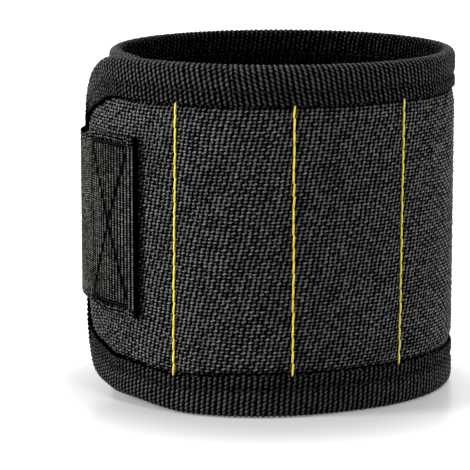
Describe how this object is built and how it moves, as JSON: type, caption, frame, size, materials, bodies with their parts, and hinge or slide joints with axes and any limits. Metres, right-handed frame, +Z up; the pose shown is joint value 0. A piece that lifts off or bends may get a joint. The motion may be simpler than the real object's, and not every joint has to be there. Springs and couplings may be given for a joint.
{
  "type": "magnetic tool wristband",
  "caption": "Padded black cloth cuff, bound with ribbed tape, with round magnets sewn in stitched pockets to hold screws and bits, closed by a hook-and-loop strap.",
  "frame": {"origin": "on the surface that the band stands on, under the middle of its box", "axes": "+Z up, along the axis of the wrist opening; -Y is the front that the picture shows; +X to its right"},
  "size_m": [0.1008, 0.0958, 0.09],
  "materials": {
    "ballistic_nylon": "coarse basket-woven ballistic nylon, faint sheen on each float",
    "padded_lining": "matt woven lining over foam",
    "binding_tape": "ribbed binding tape, matt",
    "webbing": "ribbed webbing, matt",
    "hook_tape": "moulded nylon hooks",
    "loop_tape": "brushed loop pile",
    "seam_thread": "yellow twisted sewing thread",
    "strap_thread": "black twisted sewing thread",
    "magnet": "nickel plate"
  },
  "bodies": {
    "clasp": {"clasp_shell": "ballistic_nylon", "clasp_lining": "padded_lining", "clasp_binding": "binding_tape", "strap_patch": "webbing", "strap_box_stitch": "strap_thread"},
    "pocket_1": {"pocket_1_shell": "ballistic_nylon", "pocket_1_lining": "padded_lining", "pocket_1_binding_top": "binding_tape", "pocket_1_binding_bottom": "binding_tape", "pocket_1_magnet_1": "magnet", "pocket_1_magnet_2": "magnet", "pocket_1_magnet_3": "magnet", "seam_1": "seam_thread"},
    "pocket_2": {"pocket_2_shell": "ballistic_nylon", "pocket_2_lining": "padded_lining", "pocket_2_binding_top": "binding_tape", "pocket_2_binding_bottom": "binding_tape", "pocket_2_magnet_1": "magnet", "pocket_2_magnet_2": "magnet", "pocket_2_magnet_3": "magnet", "seam_2": "seam_thread"},
    "pocket_3": {"pocket_3_shell": "ballistic_nylon", "pocket_3_lining": "padded_lining", "pocket_3_binding_top": "binding_tape", "pocket_3_binding_bottom": "binding_tape", "pocket_3_magnet_1": "magnet", "pocket_3_magnet_2": "magnet", "pocket_3_magnet_3": "magnet", "seam_3": "seam_thread"},
    "pocket_4": {"pocket_4_shell": "ballistic_nylon", "pocket_4_lining": "padded_lining", "pocket_4_binding_top": "binding_tape", "pocket_4_binding_bottom": "binding_tape", "pocket_4_magnet_1": "magnet", "pocket_4_magnet_2": "magnet", "pocket_4_magnet_3": "magnet", "seam_4": "seam_thread"},
    "pocket_5": {"pocket_5_shell": "ballistic_nylon", "pocket_5_lining": "padded_lining", "pocket_5_binding_top": "binding_tape", "pocket_5_binding_bottom": "binding_tape", "pocket_5_magnet_1": "magnet", "pocket_5_magnet_2": "magnet", "pocket_5_magnet_3": "magnet", "seam_5": "seam_thread", "seam_6": "seam_thread"},
    "back": {"back_shell": "ballistic_nylon", "back_lining": "padded_lining", "back_binding_top": "binding_tape", "back_binding_bottom": "binding_tape", "loop_tape_back": "loop_tape"},
    "tail": {"tail_shell": "ballistic_nylon", "tail_lining": "padded_lining", "tail_binding": "binding_tape", "loop_tape_tail": "loop_tape"},
    "strap": {"strap": "webbing", "hook_tape": "hook_tape"}
  },
  "joints": [
    {"name": "seam_3_fold", "type": "hinge", "parent": "pocket_2", "child": "pocket_3", "pos_m": [0.03421, -0.033, 0.045], "axis": [0, 0, -1], "range_deg": [0, 38]},
    {"name": "seam_2_fold", "type": "hinge", "parent": "pocket_2", "child": "pocket_1", "pos_m": [0.00668, -0.04692, 0.045], "axis": [0, 0, 1], "range_deg": [0, 38]},
    {"name": "seam_1_fold", "type": "hinge", "parent": "pocket_1", "child": "clasp", "pos_m": [-0.02397, -0.04253, 0.045], "axis": [0, 0, 1], "range_deg": [0, 38]},
    {"name": "seam_4_fold", "type": "hinge", "parent": "pocket_3", "child": "pocket_4", "pos_m": [0.04985, 0.00294, 0.045], "axis": [0, 0, -1], "range_deg": [0, 36.1]},
    {"name": "seam_5_fold", "type": "hinge", "parent": "pocket_4", "child": "pocket_5", "pos_m": [0.03236, 0.03801, 0.045], "axis": [0, 0, -1], "range_deg": [0, 34.2]},
    {"name": "seam_6_fold", "type": "hinge", "parent": "pocket_5", "child": "back", "pos_m": [-0.00575, 0.04714, 0.045], "axis": [0, 0, -1], "range_deg": [0, 30.4]},
    {"name": "tail_fold", "type": "hinge", "parent": "back", "child": "tail", "pos_m": [-0.03846, 0.02386, 0.045], "axis": [0, 0, -1], "range_deg": [0, 22.8]},
    {"name": "strap_peel", "type": "hinge", "parent": "clasp", "child": "strap", "pos_m": [-0.05057, 0.00072, 0.047], "axis": [0, 0, 1], "range_deg": [0, 150]}
  ],
  "couplings": [
    {"joint": "seam_1_fold", "follows": "seam_3_fold", "ratio": 1},
    {"joint": "seam_2_fold", "follows": "seam_3_fold", "ratio": 1},
    {"joint": "seam_4_fold", "follows": "seam_3_fold", "ratio": 0.95},
    {"joint": "seam_5_fold", "follows": "seam_3_fold", "ratio": 0.9},
    {"joint": "seam_6_fold", "follows": "seam_3_fold", "ratio": 0.8},
    {"joint": "tail_fold", "follows": "seam_3_fold", "ratio": 0.6}
  ]
}
